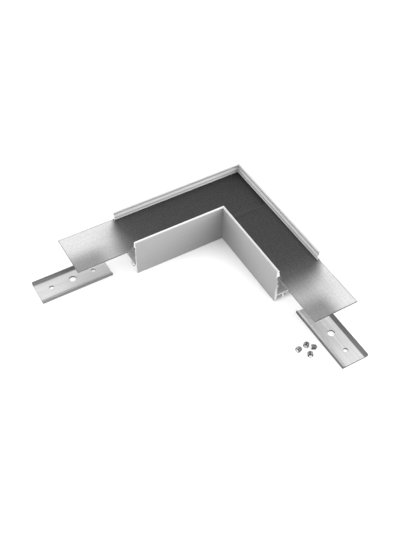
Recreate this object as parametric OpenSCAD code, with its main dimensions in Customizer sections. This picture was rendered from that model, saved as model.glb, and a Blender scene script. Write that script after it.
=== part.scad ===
// Right-angle corner connector for a lighting extrusion, laid out as a kit.
// Two mitred lengths of extrusion form the corner, and flat plates slide in slots in their walls.
// Two joining rails and four grub screws lie beside it, ready to be fitted.
// The origin is the outer corner of the mitre on the plane that the walls stand on.
// One arm runs along +X and the other along -Y, and u is the distance in from an outer face.

/* [Extrusion] */
// Overall width of the extrusion
profile_w = 36.6; // [34:0.2:42]
// Overall height of the extrusion
profile_h = 32; // [29:0.5:40]
// Length of each arm, measured along its outer face
arm_len = 109; // [80:1:200]
// Thickness of the two side walls
wall_t = 1.7; // [1.5:0.1:2.2]
// Broken edge along the top of each wall
edge = 0.25; // [0.1:0.05:0.4]

/* [Gripping lips] */
// Height of the lip zone, from the plate slot to the top
grip_h = 6; // [5.5:0.1:7.5]
// How far the lower lip stands out of the wall
lip_out = 1.1; // [0.8:0.1:1.6]
// Flat nose at the tip of each lip
lip_nose = 0.25; // [0.1:0.05:0.4]
// Height of the upper lip's tip above the lower lip's tip
lip_pitch = 2.1; // [1.6:0.1:2.4]
// How far the upper lip stands out of the wall
upper_out = 0.8; // [0.5:0.1:1.2]
// Depth of the step between the two lips
lip_step = 0.4; // [0.2:0.05:0.5]

/* [Plate slots] */
// Metal left between a slot and the wall's outer face
slot_skin = 0.7; // [0.5:0.05:0.9]
// Clearance at each edge of a plate in its slot
plate_gap = 0.1; // [0.05:0.05:0.3]
// Clearance above a plate in its slot
plate_headroom = 0.3; // [0.1:0.05:0.6]

/* [Rib] */
// Height of the rib's underside above the base
rib_z = 14.7; // [11:0.1:18]
// How far the rib stands out of the wall
rib_out = 1.4; // [0.8:0.1:2.5]
// Thickness of the rib at its tip
rib_t = 0.9; // [0.6:0.1:1.6]
// Extra thickness of the rib where it meets the wall
rib_rise = 0.7; // [0.2:0.1:1.2]

/* [Web and track] */
// Thickness of the web that ties the walls together
web_t = 1.2; // [1:0.1:2]
// Space under the track hooks, down to the base
hook_clear = 1.3; // [1.2:0.1:2.6]
// Thickness of a hook's leg
leg_t = 1.2; // [0.9:0.1:1.6]
// Thickness of a hook's floor
hook_t = 0.9; // [0.8:0.1:1.6]
// Width of the groove between a hook's leg and its upturned tip
hook_mouth = 1.4; // [1.2:0.1:1.8]
// Thickness of a hook's upturned tip
tip_t = 1; // [0.7:0.1:1.4]
// Clearance at each side of a rail in the track
track_gap = 0.2; // [0.1:0.05:0.4]
// Clearance between a rail's sloping flank and a hook's tip
flank_gap = 0.15; // [0.1:0.05:0.2]
// Clearance above or below a rail in the track
track_headroom = 0.2; // [0.1:0.05:0.6]
// Radius in the corners between web, walls and legs
root_r = 0.5; // [0.2:0.1:1]

/* [Plates] */
// Thickness of the sheet
plate_t = 1; // [0.8:0.1:1.5]
// Length of plate that sticks out past the end of an arm
plate_out = 44.5; // [20:0.5:60]
// Distance from the corner to the end of the corner plate's short leg
seam_at = 43.3; // [42:0.1:60]
// Gap between the corner plate and the straight plate
seam_gap = 0.15; // [0.05:0.05:0.5]

/* [Rails] */
// Length of a rail
rail_len = 55; // [48:1:90]
// Width of a rail
rail_w = 21; // [19:0.2:24]
// Height of a rail at its edges
rail_h = 2.5; // [2.2:0.1:3]
// Thickness of a rail's floor
rail_floor = 1.1; // [0.9:0.1:1.2]
// Flat land along the top of each edge of a rail
land_w = 0.4; // [0.2:0.05:0.6]
// Width of the flank that slopes from the land down to the floor
flank_w = 2.5; // [2:0.1:3]
// Width of the grooves along a rail's outer faces
groove_w = 0.5; // [0.3:0.05:0.7]
// Depth of the grooves along a rail's outer faces
groove_d = 0.3; // [0.1:0.05:0.4]
// Width of the marking line scribed along a rail's middle
scribe_w = 0.4; // [0.2:0.05:0.8]
// Depth of the marking line
scribe_d = 0.15; // [0.05:0.05:0.3]
// Diameter of the large hole in a rail's middle
big_hole_d = 5.2; // [4:0.1:8]
// Distance between the two tapped holes in a rail
tap_pitch = 33; // [24:0.5:40]
// Distance from the end of an arm to a rail that lies beside it
rail_away = 16.4; // [5:0.1:40]
// How far a rail lies off the middle of its arm, towards the inside of the corner
rail_shift = 0.3; // [0:0.1:2]

/* [Grub screws] */
// Diameter over the thread
screw_d = 4; // [3:0.1:5]
// Diameter of the thread's root, which is also the tapped hole
screw_root_d = 3.3; // [2.6:0.05:4.2]
// Length of a screw
screw_len = 4; // [3.6:0.1:6]
// Chamfer at the socket end
screw_chamfer = 0.35; // [0.1:0.05:0.5]
// Length of the cone at the point
point_len = 1.2; // [0.8:0.1:1.5]
// Diameter of the blunt tip
point_d = 1.2; // [0.6:0.1:1.6]
// Hexagon socket, across its flats
socket_af = 2; // [1.3:0.1:2.2]
// Depth of the socket
socket_deep = 1.7; // [1:0.1:2]

/* [Hidden] */
$fn = 48;
past = 1;

slot_h = plate_t + plate_headroom;
slot_top = profile_h - grip_h;
slot_z = slot_top - slot_h;
plate_in = slot_skin + plate_gap;
plate_far = profile_w - plate_in;
plate_end = arm_len + plate_out;

track_w = rail_w + 2 * track_gap;
track_h = rail_h + track_headroom;
hook_floor = hook_clear + hook_t;
web_z = hook_floor + track_h;
leg_u = profile_w / 2 - track_w / 2;
tip_u = leg_u + hook_mouth;
flank_slope = (rail_h - rail_floor) / flank_w;
tip_low = flank_slope * (hook_mouth - track_gap - land_w) - flank_gap;
tip_high = tip_low + flank_slope * tip_t;

rail_start = arm_len + rail_away;
rail_mid = rail_start + rail_len / 2;
rail_line = profile_w / 2 + rail_shift;
groove_z = (rail_floor + rail_h) / 2;

// Each screw: along from the rail's middle, out from its near edge, and the heading of its socket.
screw_spots = [[-0.3, 10.1, -48], [0.5, 16.7, -75], [4.3, 6.9, -120], [7.5, 12.4, -30]];

// Fills a square corner at the origin, in the first quadrant, with a concave radius.
module root_fillet() {
    difference() {
        square(root_r);
        translate([root_r, root_r])
            circle(root_r);
    }
}

// One side wall with its rib, its plate slot and the two gripping lips above the slot.
module wall_section() {
    tip_z = slot_top + lip_nose;
    step_z = slot_top + lip_pitch;
    polygon([
        [0, 0],
        [wall_t, 0],
        [wall_t, rib_z],
        [wall_t + rib_out, rib_z],
        [wall_t + rib_out, rib_z + rib_t],
        [wall_t, rib_z + rib_t + rib_rise],
        [wall_t, slot_z],
        [slot_skin, slot_z],
        [slot_skin, slot_top],
        [wall_t + lip_out, slot_top],
        [wall_t + lip_out, tip_z],
        [wall_t + upper_out - lip_step, step_z],
        [wall_t + upper_out, step_z],
        [wall_t + upper_out, step_z + lip_nose],
        [wall_t, step_z + lip_nose + 2 * upper_out],
        [wall_t, profile_h - edge],
        [wall_t - edge, profile_h],
        [edge, profile_h],
        [0, profile_h - edge]
    ]);
}

// One hook of the track under the web. A rail slides in with its flanks down, and the hook's
// upturned tip is cut parallel to the flank above it.
module hook_section() {
    polygon([
        [leg_u - leg_t, hook_clear],
        [tip_u + tip_t, hook_clear],
        [tip_u + tip_t, hook_floor + tip_high],
        [tip_u, hook_floor + tip_low],
        [tip_u, hook_floor],
        [leg_u, hook_floor],
        [leg_u, web_z],
        [leg_u - leg_t, web_z]
    ]);
}

// Half of the extrusion's section, from an outer face to the middle of the web.
module half_section() {
    wall_section();
    hook_section();
    translate([wall_t, web_z])
        square([profile_w / 2 - wall_t, web_t]);
    translate([wall_t, web_z + web_t])
        root_fillet();
    translate([wall_t, web_z])
        mirror([0, 1])
            root_fillet();
    translate([leg_u - leg_t, web_z])
        rotate(180)
            root_fillet();
}

// The whole section, standing on its walls and centred on the middle of the web.
module profile_section() {
    for (side = [0, 1])
        mirror([side, 0])
            translate([-profile_w / 2, 0])
                half_section();
}

// Everything on one side of the mitre plane, which stands at 45 degrees through the origin.
module beyond_mitre(turn) {
    rotate([0, 0, turn])
        translate([-2 * arm_len, -2 * arm_len, -past])
            cube([2 * arm_len, 4 * arm_len, profile_h + 2 * past]);
}

module profile_right() {
    color("silver")
        difference() {
            translate([0, -profile_w / 2, 0])
                rotate([90, 0, 90])
                    linear_extrude(arm_len)
                        profile_section();
            beyond_mitre(45);
        }
}

module profile_left() {
    color("silver")
        difference() {
            translate([profile_w / 2, 0, 0])
                rotate([90, 0, 0])
                    linear_extrude(arm_len)
                        profile_section();
            beyond_mitre(225);
        }
}

// Runs the length of one arm and turns the corner by a short leg.
module corner_plate() {
    color("dimgray")
        translate([0, 0, slot_z])
            linear_extrude(plate_t)
                polygon([
                    [plate_in, -plate_end],
                    [plate_far, -plate_end],
                    [plate_far, -plate_far],
                    [seam_at, -plate_far],
                    [seam_at, -plate_in],
                    [plate_in, -plate_in]
                ]);
}

// Carries on from the corner plate's short leg, along the other arm.
module straight_plate() {
    start = seam_at + seam_gap;
    color("gray")
        translate([start, -plate_far, slot_z])
            cube([plate_end - start, plate_far - plate_in, plate_t]);
}

// A rail's section: floor, sloping flanks, lands, outer grooves and the marking line.
module rail_section() {
    half = rail_w / 2;
    side = [
        [half, 0],
        [half, groove_z - groove_w / 2],
        [half - groove_d, groove_z],
        [half, groove_z + groove_w / 2],
        [half, rail_h],
        [half - land_w, rail_h],
        [half - land_w - flank_w, rail_floor],
        [scribe_w / 2, rail_floor]
    ];
    other_side = [for (i = [len(side) - 1:-1:0]) [-side[i][0], side[i][1]]];
    polygon(concat(side, [[0, rail_floor - scribe_d]], other_side));
}

// A rail that lies along +X, centred on the origin and standing on its floor.
module rail() {
    difference() {
        rotate([90, 0, 90])
            translate([0, 0, -rail_len / 2])
                linear_extrude(rail_len)
                    rail_section();
        translate([0, 0, -past])
            cylinder(d = big_hole_d, h = rail_h + 2 * past);
        for (side = [-1, 1])
            translate([side * tap_pitch / 2, 0, -past])
                cylinder(d = screw_root_d, h = rail_h + 2 * past);
    }
}

module rail_right() {
    color("gainsboro")
        translate([rail_mid, -rail_line, 0])
            rail();
}

module rail_left() {
    color("gainsboro")
        translate([rail_line, -rail_mid, 0])
            rotate([0, 0, 90])
                rail();
}

// A grub screw on the origin, its socket at +X and its cone at -X, lying on its side.
module grub_screw() {
    rotate([0, 90, 0])
        translate([0, 0, -screw_len / 2])
            difference() {
                rotate_extrude()
                    polygon([
                        [0, 0],
                        [point_d / 2, 0],
                        [screw_d / 2, point_len],
                        [screw_d / 2, screw_len - screw_chamfer],
                        [screw_d / 2 - screw_chamfer, screw_len],
                        [0, screw_len]
                    ]);
                translate([0, 0, screw_len - socket_deep])
                    cylinder(d = socket_af / cos(30), h = socket_deep + past, $fn = 6);
            }
}

// The four screws lie loose beside the right rail's near edge.
module grub_screws() {
    near_edge = -rail_line - rail_w / 2;
    color("darkgray")
        for (spot = screw_spots)
            translate([rail_mid + spot[0], near_edge - spot[1], screw_d / 2])
                rotate([0, 0, spot[2]])
                    grub_screw();
}

profile_right();
profile_left();
corner_plate();
straight_plate();
rail_right();
rail_left();
grub_screws();
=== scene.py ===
"""Right-angle corner connector for a lighting extrusion, with its plates, rails and grub screws."""
import math
from types import SimpleNamespace

import bpy
import numpy as np
from mathutils import Matrix, Vector


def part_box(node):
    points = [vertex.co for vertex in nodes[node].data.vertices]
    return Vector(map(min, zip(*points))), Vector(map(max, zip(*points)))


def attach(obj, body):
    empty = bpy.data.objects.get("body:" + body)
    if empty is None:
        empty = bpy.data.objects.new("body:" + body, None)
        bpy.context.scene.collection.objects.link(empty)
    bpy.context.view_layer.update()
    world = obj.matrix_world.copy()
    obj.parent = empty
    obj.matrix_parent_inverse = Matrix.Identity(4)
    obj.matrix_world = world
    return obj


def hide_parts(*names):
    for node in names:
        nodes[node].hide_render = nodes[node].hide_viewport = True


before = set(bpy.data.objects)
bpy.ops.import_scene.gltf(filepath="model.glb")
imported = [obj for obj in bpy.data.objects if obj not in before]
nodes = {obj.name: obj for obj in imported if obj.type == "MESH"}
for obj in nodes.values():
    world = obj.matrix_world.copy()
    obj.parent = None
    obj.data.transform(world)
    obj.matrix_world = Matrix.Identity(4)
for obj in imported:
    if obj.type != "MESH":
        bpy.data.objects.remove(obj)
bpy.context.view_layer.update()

# The mitred arms.
# Two lengths of extruded aluminium, sawn at 45 degrees and bonded, with a satin anodised skin.
# The die leaves faint lines along each arm. The channel's inside is painted lighter against its shade, the
# sawn ends are bare metal painted lighter still, and the wall tops and the lips' steps carry painted light
# and shade.
MM = 0.001


def node_box(name):
    """The lowest and the highest corner of a CAD node, in millimetres."""
    return [[round(value / MM, 3) for value in corner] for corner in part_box(name)]


arm_low, arm_high = node_box("profile_right")
ARM_LENGTH, ARM_WIDTH, WALL_HEIGHT = arm_high[0], -arm_low[1], arm_high[2]
WALL, CHANNEL_TOP, LIPS_FROM = 1.7, 24.0, 26.0
SAWN_DEPTH, TOP_DEPTH, INSIDE_MARGIN, OUTSIDE_MARGIN = 0.02, 0.3, 0.2, 0.1
CHANNEL_MIDDLE = ARM_WIDTH / 2
CHANNEL_REACH = CHANNEL_MIDDLE - WALL + INSIDE_MARGIN
WALLS_REACH = CHANNEL_MIDDLE - OUTSIDE_MARGIN

# The greys in a pair are those of the right and the left arm, painted light and shade for how the light
# falls on each. The lips' painted shade is by height.
SKIN_COLOUR = (0.388, 0.388, 0.391, 1)
CHANNEL_PAINTED_LIGHT_GREYS, SAWN_PAINTED_LIGHT_GREYS = (0.70, 0.86), (0.80, 0.93)
OUTER_TOP_PAINTED_LIGHT_GREYS, INNER_TOP_PAINTED_LIGHT_GREYS = (0.325, 0.39), (0.355, 0.445)
LIP_PAINTED_SHADE = [(26, 1), (26.9, 1), (27.4, 0.66), (28.2, 0.66), (28.4, 1),
              (29.7, 1), (30.2, 0.88), (31.4, 0.88), (31.7, 1)]
SPECULAR_LEVEL = 0.1
NOISE_LOW, NOISE_HIGH = 0.3, 0.7


def neutral(level):
    """The colour with the same linear level in red, green and blue."""
    return (level, level, level, 1)


def new_finish(name, metallic, roughness=0.5):
    """An empty finish with one Principled shader; returns the material, its tree and the shader."""
    finish = bpy.data.materials.new(name)
    finish.use_nodes = True
    tree = finish.node_tree
    shader = tree.nodes["Principled BSDF"]
    shader.inputs["Metallic"].default_value = metallic
    shader.inputs["Roughness"].default_value = roughness
    shader.inputs["Specular IOR Level"].default_value = SPECULAR_LEVEL
    return finish, tree, shader


def calc(tree, operation, first, second=None, third=None):
    """One Math node; each operand is a socket or a number. Returns the result's socket."""
    node = tree.nodes.new("ShaderNodeMath")
    node.operation = operation
    for slot, value in zip(node.inputs, (first, second, third)):
        if isinstance(value, (int, float)):
            slot.default_value = value
        elif value is not None:
            tree.links.new(value, slot)
    return node.outputs[0]


def ramp(tree, value, low, high, from_out, to_out):
    """A smooth step: value from low to high becomes from_out to to_out. Returns the socket."""
    node = tree.nodes.new("ShaderNodeMapRange")
    node.interpolation_type = "SMOOTHSTEP"
    tree.links.new(value, node.inputs["Value"])
    for name, number in (("From Min", low), ("From Max", high), ("To Min", from_out), ("To Max", to_out)):
        node.inputs[name].default_value = number
    return node.outputs["Result"]


def spread(tree, noise, least, most):
    """A noise whose usual range is stretched smoothly from least to most. Returns the socket."""
    return ramp(tree, noise, NOISE_LOW, NOISE_HIGH, least, most)


def place(tree):
    """The point on the piece and its x, y and z, as sockets in millimetres."""
    metres = tree.nodes.new("ShaderNodeTexCoord").outputs["Object"]
    point = tree.nodes.new("ShaderNodeVectorMath")
    point.operation = "SCALE"
    point.inputs["Scale"].default_value = 1 / MM
    parts = tree.nodes.new("ShaderNodeSeparateXYZ")
    tree.links.new(metres, point.inputs[0])
    tree.links.new(point.outputs[0], parts.inputs[0])
    return point.outputs[0], parts.outputs["X"], parts.outputs["Y"], parts.outputs["Z"]


def grain(tree, point, scale, detail=2.0):
    """Noise stretched by a different scale, in cycles per millimetre, along each axis. Returns 0 to 1."""
    mapping = tree.nodes.new("ShaderNodeMapping")
    mapping.inputs["Scale"].default_value = scale
    noise = tree.nodes.new("ShaderNodeTexNoise")
    noise.inputs["Scale"].default_value = 1.0
    noise.inputs["Detail"].default_value = detail
    tree.links.new(point, mapping.inputs["Vector"])
    tree.links.new(mapping.outputs["Vector"], noise.inputs["Vector"])
    return noise.outputs["Fac"]


def drawn_lines(tree, point, axis, across, along):
    """Noise drawn out into lines along one axis; both scales are in cycles per millimetre."""
    scale = [across] * 3
    scale[axis] = along
    return grain(tree, point, scale)


def relief(tree, shader, height, depth):
    """Feeds a height between 0 and 1 to the shader's normal as a relief, its depth in millimetres."""
    bump = tree.nodes.new("ShaderNodeBump")
    bump.inputs["Distance"].default_value = depth * MM
    bump.inputs["Strength"].default_value = 1.0
    tree.links.new(height, bump.inputs["Height"])
    tree.links.new(bump.outputs["Normal"], shader.inputs["Normal"])


def blended(tree, amount, first, second, how="MIX"):
    """Mixes two colours or sockets by an amount, a socket or a number. Returns the socket."""
    mix = tree.nodes.new("ShaderNodeMix")
    mix.data_type = "RGBA"
    mix.blend_type = how
    for slot, value in ((mix.inputs["Factor"], amount), (mix.inputs[6], first), (mix.inputs[7], second)):
        if isinstance(value, (tuple, float)):
            slot.default_value = value
        else:
            tree.links.new(value, slot)
    return mix.outputs[2]


def striped(tree, value, low, high, stripes):
    """A grey that changes in straight steps between low and high; stripes are (place, grey) pairs."""
    share = tree.nodes.new("ShaderNodeMapRange")
    share.inputs["From Min"].default_value = low
    share.inputs["From Max"].default_value = high
    tree.links.new(value, share.inputs["Value"])
    greys = tree.nodes.new("ShaderNodeValToRGB")
    while len(greys.color_ramp.elements) < len(stripes):
        greys.color_ramp.elements.new(0.5)
    for stop, (at, grey) in zip(greys.color_ramp.elements, stripes):
        stop.position = (at - low) / (high - low)
        stop.color = neutral(grey)
    tree.links.new(share.outputs["Result"], greys.inputs["Fac"])
    return greys.outputs["Color"]


def anodised(name, axis):
    """The skin of an arm that runs along axis 0 (x) or axis 1 (y, towards minus).

    Each grey goes over the one before, by place: the skin, the channel under the plates with painted light
    over its shade, the steps of the gripping lips with painted shade, the tops of both walls and the outer
    wall's top with painted light and shade for each arm, and the sawn end, bare metal with painted light.
    """
    finish, tree, shader = new_finish(name, metallic=0.15)
    point, *parts = place(tree)
    height = parts[2]
    backward = calc(tree, "MULTIPLY", parts[1], -1.0)
    along, inward = (parts[0], backward) if axis == 0 else (backward, parts[0])
    off_middle = calc(tree, "ABSOLUTE", calc(tree, "SUBTRACT", inward, CHANNEL_MIDDLE))
    in_reach = calc(tree, "LESS_THAN", off_middle, CHANNEL_REACH)
    in_channel = calc(tree, "MULTIPLY", in_reach, calc(tree, "LESS_THAN", height, CHANNEL_TOP))
    between_walls = calc(tree, "LESS_THAN", off_middle, WALLS_REACH)
    top = calc(tree, "GREATER_THAN", height, WALL_HEIGHT - TOP_DEPTH)
    outer_top = calc(tree, "MULTIPLY", top, calc(tree, "LESS_THAN", inward, CHANNEL_MIDDLE))
    sawn = calc(tree, "GREATER_THAN", along, ARM_LENGTH - SAWN_DEPTH)
    # The lips' steps get painted shade, the channel painted light, and the tops and the sawn end painted
    # light and shade for each arm.
    lips = striped(tree, height, LIPS_FROM, WALL_HEIGHT, LIP_PAINTED_SHADE)
    skin = blended(tree, in_channel, SKIN_COLOUR, neutral(CHANNEL_PAINTED_LIGHT_GREYS[axis]))
    skin = blended(tree, between_walls, skin, lips, "MULTIPLY")
    skin = blended(tree, top, skin, neutral(INNER_TOP_PAINTED_LIGHT_GREYS[axis]))
    skin = blended(tree, outer_top, skin, neutral(OUTER_TOP_PAINTED_LIGHT_GREYS[axis]))
    skin = blended(tree, sawn, skin, neutral(SAWN_PAINTED_LIGHT_GREYS[axis]))
    lines = drawn_lines(tree, point, axis, across=1.8, along=0.012)
    streaks = spread(tree, lines, least=0.95, most=1.0)
    tree.links.new(blended(tree, 1.0, skin, streaks, "MULTIPLY"), shader.inputs["Base Color"])
    relief(tree, shader, lines, depth=0.004)
    return finish


def dress(piece, finish):
    """Gives a piece its one finish and the record's material slot."""
    piece.data.materials.clear()
    piece.data.materials.append(finish)


dress(nodes["profile_right"], anodised("anodised_right_arm", 0))
dress(nodes["profile_left"], anodised("anodised_left_arm", 1))

# The corner plate.
# Rolled aluminium sheet cut to an L, slid into the wall slots before the mitre is closed.
# Its grey is painted shade where it lies in the channel and a painted bright reflection where it sticks
# out past the arm.
corner_low, corner_high = node_box("corner_plate")
straight_low, _ = node_box("straight_plate")
SHEET_LOW, SHEET_HIGH = corner_low[2], corner_high[2]
SHEET_MIDDLE, SHEET_HALF = (SHEET_LOW + SHEET_HIGH) / 2, (SHEET_HIGH - SHEET_LOW) / 2
PLATE_NEAR, PLATE_FAR, PLATE_END = corner_low[0], -straight_low[1], -corner_low[1]
SEAM, SEAM_END = corner_high[0], straight_low[0]
ROLL, RIM, GRID_STEP = 0.12, 0.35, 1.2
SHARP_FROM = math.radians(35)
ROLL_TURNS = np.radians([90, 60, 30, 0, 0, -30, -60, -90])

# The sheet's painted shade in the channel and painted reflection past the arm. In these names, at is a
# place along the arm, before and past are from the arm's end, in is from the outer edge, and across and
# along are the length that a change takes.
SHEET_GAIN = 0.41
DARK_AT = [2, 6, 12, 25, 50, 80, 100, 109]
CHANNEL_PAINTED_SHADE = [0.024, 0.036, 0.050, 0.058, 0.066, 0.072, 0.083, 0.105]
WALL_LIFT_IN, WALL_LIFT_FADE = 2.5, 3.0
CORNER_LIGHT, CORNER_LIGHT_PAST, CORNER_LIGHT_IN, CORNER_LIGHT_WIDTH = 0.3, 0.5, 33.5, 1.5
PAINTED_REFLECTION = 0.90
END_FALL_ACROSS, END_FALL_ALONG = 14.0, 16.0
EDGE_LINE, EDGE_LINE_IN, EDGE_LINE_WIDTH = 0.24, 1.0, 0.6
DIP_ACROSS, DIP_PAST = 12.0, 3.0
LEFT_PAINTED_LIGHT = SimpleNamespace(
    dark_gain=1.1, wall_lift=1.2,
    band_at=109.1, band_reach=7.2, band_ease=11.7,
    band_width=0.5, band_widening=0.94, band_width_most=27.0,
    inner_fall=0.25, inner_fall_in=8.9, inner_fall_across=23.9,
    end_fall=0.28, end_fall_at=122.7, end_fall_in=14.8,
    dip=0.44, dip_fade=8.6)
RIGHT_PAINTED_LIGHT = SimpleNamespace(
    dark_gain=1.04, wall_lift=1.0,
    band_at=110.2, band_reach=10.9, band_ease=8.1,
    band_width=8.0, band_widening=1.06, band_width_most=36.0,
    inner_fall=0.20, inner_fall_in=8.5, inner_fall_across=16.9,
    end_fall=0.34, end_fall_at=129.0, end_fall_in=9.5,
    dip=0.64, dip_fade=15.7)
CUT_BEFORE, SIDE_GREY, END_GREY = 2.0, 0.16, 0.11
SEAM_LIGHT, SEAM_LIGHT_WIDTH = 0.016, 0.4
SEAM_SHADE, SEAM_SHADE_AFTER, SEAM_SHADE_WIDTH = 0.004, 2.2, 0.9
SPECK_GREY = 0.004


def grid_lines(low, high):
    """Lines from low to high: one a rim's width inside each end and even steps between."""
    count = max(2, round((high - low) / GRID_STEP))
    return np.concatenate([[low], np.linspace(low + RIM, high - RIM, count), [high]])


def sheet_form(xs, ys, keep):
    """A flat sheet with rolled edges over the kept cells of a plan grid, in millimetres.

    Each grid point is repeated on a ring for each turn t of the rolled edge. The ring lies at
    mid height plus or minus (half the thickness - roll) plus roll * sin(t), and its outline
    points move in by roll * (1 - cos(t)). The outline runs with the sheet on its left.
    Returns the points, the quads and which points lie on a cut edge, as 1 or 0.
    """
    x, y = np.meshgrid(xs, ys, indexing="ij")
    columns, rows = x.shape
    cells = np.pad(keep, 1)
    around = [cells[i:i + columns, j:j + rows].astype(int) for j in (0, 1) for i in (0, 1)]
    south_west, south_east, north_west, north_east = around
    in_x = np.sign(north_east + south_east - north_west - south_west)
    in_y = np.sign(north_east + north_west - south_east - south_west)

    last = len(ROLL_TURNS) - 1
    side = np.where(np.arange(last + 1) <= last // 2, 1, -1)
    heights = SHEET_MIDDLE + side * (SHEET_HALF - ROLL) + ROLL * np.sin(ROLL_TURNS)
    inset = (ROLL * (1 - np.cos(ROLL_TURNS)))[:, None, None]
    levels = np.broadcast_to(heights[:, None, None], (last + 1, columns, rows))
    rings = np.stack([x + inset * in_x, y + inset * in_y, levels], -1)
    cut = np.broadcast_to((in_x != 0) | (in_y != 0), levels.shape).astype(float)

    grid = np.arange(x.size).reshape(x.shape)
    top = np.stack([grid[:-1, :-1], grid[1:, :-1], grid[1:, 1:], grid[:-1, 1:]], -1)[keep]
    south, north, west, east = cells[1:-1, :-1], cells[1:-1, 1:], cells[:-1, 1:-1], cells[1:, 1:-1]
    start = np.concatenate([grid[:-1][north & ~south], grid[1:][south & ~north],
                            grid[:, :-1][west & ~east], grid[:, 1:][east & ~west]])
    end = np.concatenate([grid[1:][north & ~south], grid[:-1][south & ~north],
                          grid[:, 1:][west & ~east], grid[:, :-1][east & ~west]])
    ring = np.arange(last)[:, None] * x.size
    below = ring + x.size
    rim = np.stack([start + below, end + below, end + ring, start + ring], -1).reshape(-1, 4)
    quads = np.concatenate([top, top[:, ::-1] + last * x.size, rim])
    used, quads = np.unique(quads, return_inverse=True)
    return rings.reshape(-1, 3)[used], quads.reshape(-1, 4), cut.reshape(-1)[used]


def smooth(value):
    """The smooth step 3 v^2 - 2 v^3 of a value clipped to 0..1."""
    value = np.clip(value, 0, 1)
    return value * value * (3 - 2 * value)


def hump(value, middle, width):
    """The bell curve e to the power of minus ((value - middle) / width)^2."""
    return np.exp(-((value - middle) / width) ** 2)


def sheet_painted_light(along, inward, plan):
    """The sheet's painted shade and painted reflection at a point, as a linear grey.

    In the channel it is painted shade, from a table of grey by distance along the arm, with painted light
    a little beside the outer wall and a painted glint at the inner corner of the arm's end. Past the end
    it turns to the bright level of a painted reflection across a band that widens and lies further out
    with distance in. The bright level falls off towards the inner edge and the far end, and it is dimmed
    by painted shade near the arm's end, and along a fine line beside the outer edge.
    """
    dark = plan.dark_gain * np.interp(along, DARK_AT, CHANNEL_PAINTED_SHADE)
    dark *= 1 + plan.wall_lift * np.exp(-(inward - WALL_LIFT_IN) / WALL_LIFT_FADE)
    corner_light = CORNER_LIGHT * hump(along, ARM_LENGTH + CORNER_LIGHT_PAST, CORNER_LIGHT_WIDTH)
    dark += corner_light * smooth((inward - CORNER_LIGHT_IN) / CORNER_LIGHT_WIDTH)

    bright = PAINTED_REFLECTION - plan.inner_fall * smooth((inward - plan.inner_fall_in) / plan.inner_fall_across)
    end_fall = plan.end_fall * smooth((along - plan.end_fall_at) / END_FALL_ALONG)
    bright -= end_fall * smooth((inward - plan.end_fall_in) / END_FALL_ACROSS)
    bright *= 1 - EDGE_LINE * hump(inward, EDGE_LINE_IN, EDGE_LINE_WIDTH)
    dip = plan.dip * np.exp(-np.maximum(along - ARM_LENGTH - DIP_PAST, 0) / plan.dip_fade)
    bright *= 1 - dip * smooth(inward / DIP_ACROSS)

    middle = plan.band_at + plan.band_reach * (1 - np.exp(-inward / plan.band_ease))
    width = np.minimum(plan.band_width + plan.band_widening * inward, plan.band_width_most)
    return SHEET_GAIN * (dark + (bright - dark) * smooth((along - middle) / width + 0.5))


def cut_tone(along, tone):
    """The grey of the sheared edges: the sheet's in the channel, then an even one, darker at the end."""
    outside = np.where(along < PLATE_END - RIM / 2, SIDE_GREY, END_GREY)
    return np.where(along < ARM_LENGTH - CUT_BEFORE, tone, outside)


def seam_glint(x):
    """A painted highlight on the two edges that meet at the seam, and a fainter painted shade past it."""
    light = SEAM_LIGHT * hump(x, (SEAM + SEAM_END) / 2, SEAM_LIGHT_WIDTH)
    return light - SEAM_SHADE * hump(x, SEAM + SEAM_SHADE_AFTER, SEAM_SHADE_WIDTH)


def new_piece(name, points, faces, tone):
    """A mesh object from points in millimetres, smooth but for its sharp edges, on the root body."""
    mesh = bpy.data.meshes.new(name)
    mesh.from_pydata((points * MM).tolist(), [], faces)
    mesh.polygons.foreach_set("use_smooth", np.ones(len(mesh.polygons), bool))
    mesh.set_sharp_from_angle(angle=SHARP_FROM)
    mesh.attributes.new("tone", "FLOAT", "POINT").data.foreach_set("value", tone)
    piece = bpy.data.objects.new(name, mesh)
    bpy.context.scene.collection.objects.link(piece)
    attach(piece, "root")
    return piece


def attribute(tree):
    """The tone attribute of the piece's own points. Returns the socket."""
    node = tree.nodes.new("ShaderNodeAttribute")
    node.attribute_name = "tone"
    return node.outputs["Fac"]


def grey_of(tree, value):
    """A colour with the same value in red, green and blue. Returns the socket."""
    colour = tree.nodes.new("ShaderNodeCombineColor")
    for name in ("Red", "Green", "Blue"):
        tree.links.new(value, colour.inputs[name])
    return colour.outputs[0]


def rolled_sheet(name, axis):
    """Sheet metal whose grey, with its painted shade and painted reflection, comes from the tone
    attribute, with rolling lines along an axis.
    """
    finish, tree, shader = new_finish(name, metallic=1.0)
    point, *_ = place(tree)
    lines = drawn_lines(tree, point, axis, across=1.5, along=0.06)
    specks = grain(tree, point, (0.9, 0.9, 0.9), detail=4.0)
    grey = calc(tree, "MULTIPLY", attribute(tree), spread(tree, specks, least=0.93, most=1.07))
    grey = calc(tree, "MULTIPLY", grey, spread(tree, lines, least=0.96, most=1.04))
    grey = calc(tree, "ADD", grey, spread(tree, specks, least=-SPECK_GREY, most=SPECK_GREY))
    tree.links.new(grey_of(tree, grey), shader.inputs["Base Color"])
    relief(tree, shader, specks, depth=0.006)
    return finish


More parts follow.
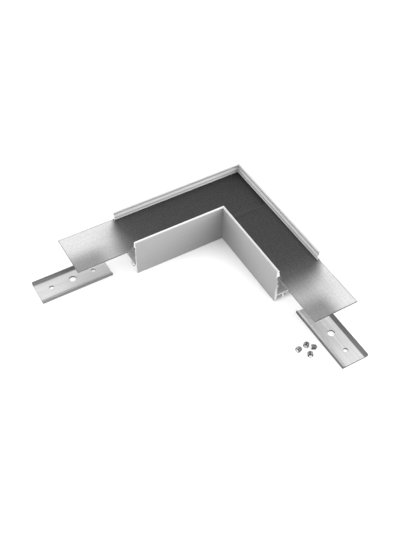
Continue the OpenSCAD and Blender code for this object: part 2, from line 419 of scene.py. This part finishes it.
xs = np.concatenate([grid_lines(PLATE_NEAR, PLATE_FAR), grid_lines(PLATE_FAR, SEAM)[1:]])
ys = np.concatenate([grid_lines(-PLATE_END, -PLATE_FAR), grid_lines(-PLATE_FAR, -PLATE_NEAR)[1:]])
keep = (xs[:-1, None] < PLATE_FAR) | (ys[None, :-1] > -PLATE_FAR - RIM / 2)
points, quads, cut = sheet_form(xs, ys, keep)
tone = sheet_painted_light(np.maximum(points[:, 0], -points[:, 1]), points[:, 0], LEFT_PAINTED_LIGHT)
tone += np.where(points[:, 1] > -PLATE_FAR, seam_glint(points[:, 0]), 0)
tone += (cut_tone(-points[:, 1], tone) - tone) * cut
corner_plate = new_piece("corner_plate_sheet", points, quads.tolist(), tone)
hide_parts("corner_plate")
dress(corner_plate, rolled_sheet("rolled_sheet_left", 1))

# The straight plate.
# The same rolled sheet, sheared to a strip and slid in from the end of the right arm.
# It butts against the corner plate's short leg, and carries the same painted shade in the channel and
# painted bright reflection where it sticks out.
xs = grid_lines(SEAM_END, PLATE_END)
ys = grid_lines(-PLATE_FAR, -PLATE_NEAR)
points, quads, cut = sheet_form(xs, ys, np.ones((len(xs) - 1, len(ys) - 1), bool))
tone = sheet_painted_light(points[:, 0], -points[:, 1], RIGHT_PAINTED_LIGHT) + seam_glint(points[:, 0])
tone += (cut_tone(points[:, 0], tone) - tone) * cut
straight_plate = new_piece("straight_plate_sheet", points, quads.tolist(), tone)
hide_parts("straight_plate")
dress(straight_plate, rolled_sheet("rolled_sheet_right", 0))

# The joining rails.
# Extruded aluminium bar with sloping flanks, sawn off, drilled in the middle and tapped twice.
# Left as it comes from the die, so it mirrors more than the anodised arms.
rail_low, rail_high = node_box("rail_right")
RAIL_MIDDLE, RAIL_HALF = (rail_low[0] + rail_high[0]) / 2, (rail_high[0] - rail_low[0]) / 2
RAIL_LINE, RAIL_EDGE = -(rail_low[1] + rail_high[1]) / 2, rail_low[1]
STRIPES_REACH = 12.0
# Across each rail, the dark stripes of the flanks and the lands are painted shade, darkest on the far
# flank.
RIGHT_STRIPES_PAINTED_SHADE = [(-10.6, 0.22), (-10.45, 0.18), (-10.3, 0.15), (-10.1, 0.15), (-9.9, 0.25),
                 (-7.7, 0.27), (-7.4, 0.37), (-0.5, 0.37), (-0.2, 0.45), (0.2, 0.45), (0.5, 0.37),
                 (6.2, 0.38), (7.4, 0.34), (7.7, 0.13), (9.9, 0.11), (10.1, 0.09), (10.6, 0.10)]
LEFT_STRIPES_PAINTED_SHADE = [(-10.6, 0.36), (-10.45, 0.28), (-10.3, 0.15), (-10.1, 0.16), (-9.9, 0.24),
                (-7.7, 0.27), (-7.4, 0.38), (6.2, 0.36), (7.3, 0.27), (7.6, 0.12),
                (9.9, 0.10), (10.1, 0.09), (10.6, 0.10)]
# Painted light lifts the rail where the plates' shadow falls on it. The outer groove carries painted
# shade, and the foot below it painted light.
SHADED_FROM, SHADED_TO, OPEN_LIFT = 130.0, 172.0, -0.03
GROOVE_FROM, GROOVE_TOP, GROOVE_PAINTED_SHADE = 10.2, 2.3, -0.35
FOOT_TOP, FOOT_PAINTED_LIGHT = 1.5, 0.35
# The walls of the holes are painted shade; the sawn ends are dark.
RAIL_SAWN_GREY, HOLE_WALL_PAINTED_SHADE, HOLE_MARGIN = 0.12, 0.04, 0.03
# Each hole is how far it lies from the rail's middle, and its diameter.
HOLES = ((0.0, 5.2), (16.5, 3.3))


def rail_metal(name, axis, stripes, painted_light_under_plate):
    """The metal of a rail that runs along axis 0 or 1, its grey by the distance from its middle line.

    It carries painted light where a plate hangs over it, which weakens the plate's shadow. Its stripes
    paint shade on the flanks and the lands, the outer grooves and the walls of the holes carry painted
    shade, and the sawn ends are dark.
    """
    finish, tree, shader = new_finish(name, metallic=0.4, roughness=0.42)
    point, *parts = place(tree)
    sign = -1.0 if axis else 1.0
    along = calc(tree, "MULTIPLY", parts[axis], sign)
    across = calc(tree, "MULTIPLY_ADD", parts[1 - axis], sign, RAIL_LINE)
    off_centre = calc(tree, "ABSOLUTE", calc(tree, "SUBTRACT", along, RAIL_MIDDLE))
    sawn = calc(tree, "GREATER_THAN", off_centre, RAIL_HALF - SAWN_DEPTH)
    outer = calc(tree, "GREATER_THAN", calc(tree, "ABSOLUTE", across), GROOVE_FROM)
    groove = calc(tree, "MULTIPLY", outer, calc(tree, "LESS_THAN", parts[2], GROOVE_TOP))
    foot = calc(tree, "MULTIPLY", outer, calc(tree, "LESS_THAN", parts[2], FOOT_TOP))
    lift = ramp(tree, along, SHADED_FROM, SHADED_TO, painted_light_under_plate, OPEN_LIFT)
    lift = calc(tree, "MULTIPLY", lift, calc(tree, "SUBTRACT", 1.0, outer))
    lines = drawn_lines(tree, point, axis, across=1.6, along=0.025)
    tone = spread(tree, lines, least=0.88, most=1.0)
    tone = calc(tree, "MULTIPLY", tone, calc(tree, "ADD", lift, 1.0))
    tone = calc(tree, "MULTIPLY", tone, calc(tree, "MULTIPLY_ADD", groove, GROOVE_PAINTED_SHADE, 1.0))
    tone = calc(tree, "MULTIPLY", tone, calc(tree, "MULTIPLY_ADD", foot, FOOT_PAINTED_LIGHT, 1.0))
    greys = striped(tree, across, -STRIPES_REACH, STRIPES_REACH, stripes)
    metal = blended(tree, 1.0, greys, tone, "MULTIPLY")
    metal = blended(tree, sawn, metal, neutral(RAIL_SAWN_GREY))
    for reach, diameter in HOLES:
        aside = calc(tree, "SUBTRACT", off_centre, reach)
        apart = calc(tree, "MULTIPLY_ADD", aside, aside, calc(tree, "MULTIPLY", across, across))
        in_hole = calc(tree, "LESS_THAN", apart, (diameter / 2 + HOLE_MARGIN) ** 2)
        metal = blended(tree, in_hole, metal, neutral(HOLE_WALL_PAINTED_SHADE))
    tree.links.new(metal, shader.inputs["Base Color"])
    relief(tree, shader, lines, depth=0.006)
    return finish


dress(nodes["rail_right"], rail_metal("rail_metal_right", 0, RIGHT_STRIPES_PAINTED_SHADE, painted_light_under_plate=0.55))
dress(nodes["rail_left"], rail_metal("rail_metal_left", 1, LEFT_STRIPES_PAINTED_SHADE, painted_light_under_plate=0.38))

# The grub screws.
# Four steel socket screws with a rolled thread and a cone point, lying loose on their sides.
# They are identical fasteners, so one piece holds all four.
SCREW_LENGTH, SCREW_RADIUS, ROOT_RADIUS, PITCH = 4.0, 2.0, 1.65, 0.7
TIP_RADIUS, CONE_LENGTH, CHAMFER = 0.6, 1.2, 0.35
WAVE_GAIN, WAVE_DROP = 1.35, 0.1
SOCKET_FLATS, SOCKET_DEPTH = 2.0, 1.7
MOUTH_GROWTH, MOUTH_DEPTH = 1.08, 0.12
DRILL_POINT_SHARE, DRILL_POINT_DEPTH = 0.02, 0.3
# The dark roots and end face are painted shade, and the light crests and socket are painted light.
ROOT_PAINTED_SHADE, CREST_PAINTED_LIGHT, CONE_TONE, FACE_PAINTED_SHADE, SOCKET_PAINTED_LIGHT = 0.04, 0.28, 0.35, 0.06, 0.9
# Each spot is how far a screw lies right of the right rail's middle and in front of the rail's
# edge, and the heading of its socket in degrees.
SPOTS = np.array([[-0.3, 10.1, -48], [0.5, 16.7, -75], [4.3, 6.9, -120], [7.5, 12.4, -30]])


def screw_form(turns=72, steps=80):
    """One screw along x, its cone at the low end and its socket at the high end, in millimetres.

    The thread's radius is root + (major - root) times a triangle wave of x / pitch - angle / turn,
    with its crests and roots cut flat. It is cut off by the cone, which widens evenly from the tip,
    and by the chamfer at the socket end. The socket is a hexagon: radius = half its flats /
    cos(angle folded into plus or minus 30 degrees). Rings of points run from the tip over the
    thread and the end face down into the socket, which ends in the shallow point of its drill.
    The grey is painted shade in the thread's roots and on the end face, and painted light on the crests
    and in the socket.
    """
    angle = np.linspace(0, 2 * np.pi, turns, endpoint=False)
    x = np.linspace(0, SCREW_LENGTH, steps)[:, None]
    wave = 1 - np.abs(2 * np.mod(x / PITCH - angle / (2 * np.pi), 1) - 1)
    wave = np.clip(WAVE_GAIN * wave - WAVE_DROP, 0, 1)
    thread = ROOT_RADIUS + (SCREW_RADIUS - ROOT_RADIUS) * wave
    cone = TIP_RADIUS + (SCREW_RADIUS - TIP_RADIUS) * x / CONE_LENGTH
    chamfer = SCREW_RADIUS + np.minimum(0, SCREW_LENGTH - CHAMFER - x)
    body = np.minimum(np.minimum(thread, cone), chamfer)
    hexagon = SOCKET_FLATS / 2 / np.cos(np.mod(angle + np.pi / 6, np.pi / 3) - np.pi / 6)
    radius = np.vstack([body, hexagon * MOUTH_GROWTH, hexagon, hexagon, hexagon * DRILL_POINT_SHARE])
    mouth, bottom = SCREW_LENGTH, SCREW_LENGTH - SOCKET_DEPTH
    level = np.concatenate([x[:, 0], [mouth, mouth - MOUTH_DEPTH, bottom, bottom - DRILL_POINT_DEPTH]])
    level = np.broadcast_to(level[:, None], radius.shape)
    rings = np.stack([level, radius * np.cos(angle), radius * np.sin(angle)], -1)

    here = np.arange(radius.size).reshape(radius.shape)
    ahead = np.roll(here, -1, 1)
    quads = np.stack([here[:-1], ahead[:-1], ahead[1:], here[1:]], -1).reshape(-1, 4)
    caps = [here[0][::-1].tolist(), here[-1].tolist()]

    crest = np.clip((body - ROOT_RADIUS) / (SCREW_RADIUS - ROOT_RADIUS), 0, 1)
    thread_tone = np.where(x < CONE_LENGTH, CONE_TONE, ROOT_PAINTED_SHADE + (CREST_PAINTED_LIGHT - ROOT_PAINTED_SHADE) * crest)
    socket_tone = np.repeat([[FACE_PAINTED_SHADE], [SOCKET_PAINTED_LIGHT], [SOCKET_PAINTED_LIGHT], [SOCKET_PAINTED_LIGHT]], turns, 1)
    tone = np.vstack([thread_tone, socket_tone]).reshape(-1)
    return rings.reshape(-1, 3) - [SCREW_LENGTH / 2, 0, 0], quads.tolist() + caps, tone


right_of, in_front, turn = SPOTS[:, :1], SPOTS[:, 1:2], np.radians(SPOTS[:, 2:])
screw_points, screw_faces, screw_tone = screw_form()
x, y, z = screw_points.T
points = np.stack([x * np.cos(turn) - y * np.sin(turn) + RAIL_MIDDLE + right_of,
                   x * np.sin(turn) + y * np.cos(turn) + RAIL_EDGE - in_front,
                   np.broadcast_to(z + SCREW_RADIUS, (len(SPOTS), len(z)))], -1)
shifts = range(0, len(SPOTS) * len(z), len(z))
faces = [[corner + shift for corner in face] for shift in shifts for face in screw_faces]
tone = np.tile(screw_tone, len(SPOTS))
screws = new_piece("grub_screws_turned", points.reshape(-1, 3), faces, tone)
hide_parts("grub_screws")
steel, tree, shader = new_finish("screw_steel", metallic=1.0)
point, *_ = place(tree)
tree.links.new(grey_of(tree, attribute(tree)), shader.inputs["Base Color"])
specks = grain(tree, point, (1.2, 1.2, 1.2), detail=3.0)
tree.links.new(spread(tree, specks, least=0.18, most=0.32), shader.inputs["Roughness"])
dress(screws, steel)

# The floor, the light and the camera.
# A matt white floor keeps the object's faint shadow, and past the arms' ends it is painted whiter, painted
# light that weakens the plates' shadow there.
# The sky is bright overhead and low down on three sides, dark behind the camera and white to it.
FLOOR_SIZE, FLOOR_MIDDLE, FLOOR_DROP = 6000, 90, 0.2
FLOOR_GREY, FLOOR_PAINTED_LIGHT_GREY, FLOOR_GREY_UNSEEN = 0.80, 0.98, 0.05
GLOW_SHARE = 0.7
OUTSIDE_FROM, OUTSIDE_TO, LEFT_LEAD = ARM_LENGTH - 2, ARM_LENGTH + 3, 5.0
floor_place = (FLOOR_MIDDLE * MM, -FLOOR_MIDDLE * MM, -FLOOR_DROP * MM)
bpy.ops.mesh.primitive_plane_add(size=FLOOR_SIZE * MM, location=floor_place)
floor = bpy.context.object
floor.name = "floor"
ground = bpy.data.materials.new("white_floor")
ground.use_nodes = True
tree = ground.node_tree
tree.nodes.clear()

# Rays from the camera, and those that a surface mirrors or lets through, see the floor's own grey. All
# others see a dark one, so the floor throws little light back up at the walls. The whiter, glowing floor
# past the arms' ends is painted light that weakens the plates' shadow there; it begins at the arms' ends,
# and a little sooner on the left.
path = tree.nodes.new("ShaderNodeLightPath")
seen = calc(tree, "MAXIMUM", path.outputs["Is Camera Ray"], path.outputs["Is Glossy Ray"])
seen = calc(tree, "MAXIMUM", seen, path.outputs["Is Transmission Ray"])
_, east, north, _ = place(tree)
outward = calc(tree, "MAXIMUM", east, calc(tree, "MULTIPLY_ADD", north, -1.0, LEFT_LEAD))
outward = ramp(tree, outward, OUTSIDE_FROM - FLOOR_MIDDLE, OUTSIDE_TO - FLOOR_MIDDLE, 0.0, 1.0)
open_colour = blended(tree, outward, neutral(FLOOR_GREY), neutral(FLOOR_PAINTED_LIGHT_GREY))
matt = tree.nodes.new("ShaderNodeBsdfDiffuse")
tree.links.new(blended(tree, seen, neutral(FLOOR_GREY_UNSEEN), open_colour), matt.inputs["Color"])
glow = tree.nodes.new("ShaderNodeEmission")
either = tree.nodes.new("ShaderNodeMixShader")
tree.links.new(calc(tree, "MULTIPLY", calc(tree, "MULTIPLY", outward, GLOW_SHARE), seen), either.inputs[0])
tree.links.new(matt.outputs[0], either.inputs[1])
tree.links.new(glow.outputs[0], either.inputs[2])
out = tree.nodes.new("ShaderNodeOutputMaterial")
tree.links.new(either.outputs[0], out.inputs["Surface"])
floor.data.materials.append(ground)

# The low light fades out over one band of the sky and the overhead light fades in over the other,
# each given by the sines of the ray's angle above the ground. The low and the middle light have
# a strength for each side. The overhead light is a little weaker towards the camera.
AZIMUTH, ELEVATION = math.radians(60.110), math.radians(48.359)
LOW_BAND = (math.sin(math.radians(15)), math.sin(math.radians(40)))
HIGH_BAND = (math.sin(math.radians(40)), math.sin(math.radians(70)))
SIDE_HEADINGS = (50, 150, 240)
LOW_LIGHT = (6.4, 2.0, 5.4)
MID_LIGHT = (3.2, 2.4, 0.9)
HIGH_LIGHT, HIGH_FADE, HIGH_FADE_BY = 2.8, 0.15, 0.3
LEAST_LEVEL = 0.0001
world = bpy.data.worlds.new("studio")
bpy.context.scene.world = world
world.use_nodes = True
tree = world.node_tree
sky = tree.nodes["Background"]
sky.inputs["Color"].default_value = (1, 1, 1, 1)
path = tree.nodes.new("ShaderNodeLightPath")
direction = tree.nodes.new("ShaderNodeSeparateXYZ")
tree.links.new(tree.nodes.new("ShaderNodeTexCoord").outputs["Object"], direction.inputs[0])
east, north, height = direction.outputs


def heading(degrees):
    """How far the ray's direction points along a level heading, from -1 to 1 at the horizon."""
    x_share, y_share = math.cos(math.radians(degrees)), math.sin(math.radians(degrees))
    return calc(tree, "ADD", calc(tree, "MULTIPLY", east, x_share), calc(tree, "MULTIPLY", north, y_share))


def one_side(along):
    """The square of the positive part of a heading, as a share of the ray's level part squared."""
    ahead = calc(tree, "MAXIMUM", along, 0.0)
    level = calc(tree, "SUBTRACT", 1.0, calc(tree, "MULTIPLY", height, height))
    level = calc(tree, "MAXIMUM", level, LEAST_LEVEL)
    return calc(tree, "DIVIDE", calc(tree, "MULTIPLY", ahead, ahead), level)


def band_light(sides, strengths):
    """The light of one band of the sky, the sum of its sides by their strengths."""
    total = calc(tree, "MULTIPLY", sides[0], strengths[0])
    for side, strength in zip(sides[1:], strengths[1:]):
        total = calc(tree, "MULTIPLY_ADD", side, strength, total)
    return total


to_camera = heading(math.degrees(AZIMUTH) - 90)
sides = [one_side(heading(degrees)) for degrees in SIDE_HEADINGS]
low = ramp(tree, height, *LOW_BAND, 1.0, 0.0)
high = ramp(tree, height, *HIGH_BAND, 0.0, 1.0)
middle = calc(tree, "SUBTRACT", calc(tree, "SUBTRACT", 1.0, low), high)
overhead = ramp(tree, to_camera, 0.0, HIGH_FADE_BY, HIGH_LIGHT, HIGH_LIGHT * (1 - HIGH_FADE))
light = calc(tree, "MULTIPLY", low, band_light(sides, LOW_LIGHT))
light = calc(tree, "MULTIPLY_ADD", middle, band_light(sides, MID_LIGHT), light)
light = calc(tree, "MULTIPLY_ADD", high, overhead, light)
white = calc(tree, "MULTIPLY", path.outputs["Is Camera Ray"], calc(tree, "SUBTRACT", 1.0, light))
tree.links.new(calc(tree, "ADD", light, white), sky.inputs["Strength"])

FOCAL_LENGTH, SENSOR_WIDTH, CLIP_START = 55.14, 36.0, 10
CAMERA_PLACE = Vector((402.29, -266.27, 452.23))
camera_data = bpy.data.cameras.new("camera")
camera_data.lens = FOCAL_LENGTH
camera_data.sensor_width = SENSOR_WIDTH
camera_data.clip_start = CLIP_START * MM
camera = bpy.data.objects.new("camera", camera_data)
bpy.context.scene.collection.objects.link(camera)
level = math.cos(ELEVATION)
back = Vector((math.sin(AZIMUTH) * level, -math.cos(AZIMUTH) * level, math.sin(ELEVATION)))
right = Vector((math.cos(AZIMUTH), math.sin(AZIMUTH), 0))
turned = Matrix((right, back.cross(right), back)).transposed().to_4x4()
camera.matrix_world = Matrix.Translation(CAMERA_PLACE * MM) @ turned
bpy.context.scene.camera = camera
bpy.context.scene.view_settings.view_transform = "Standard"
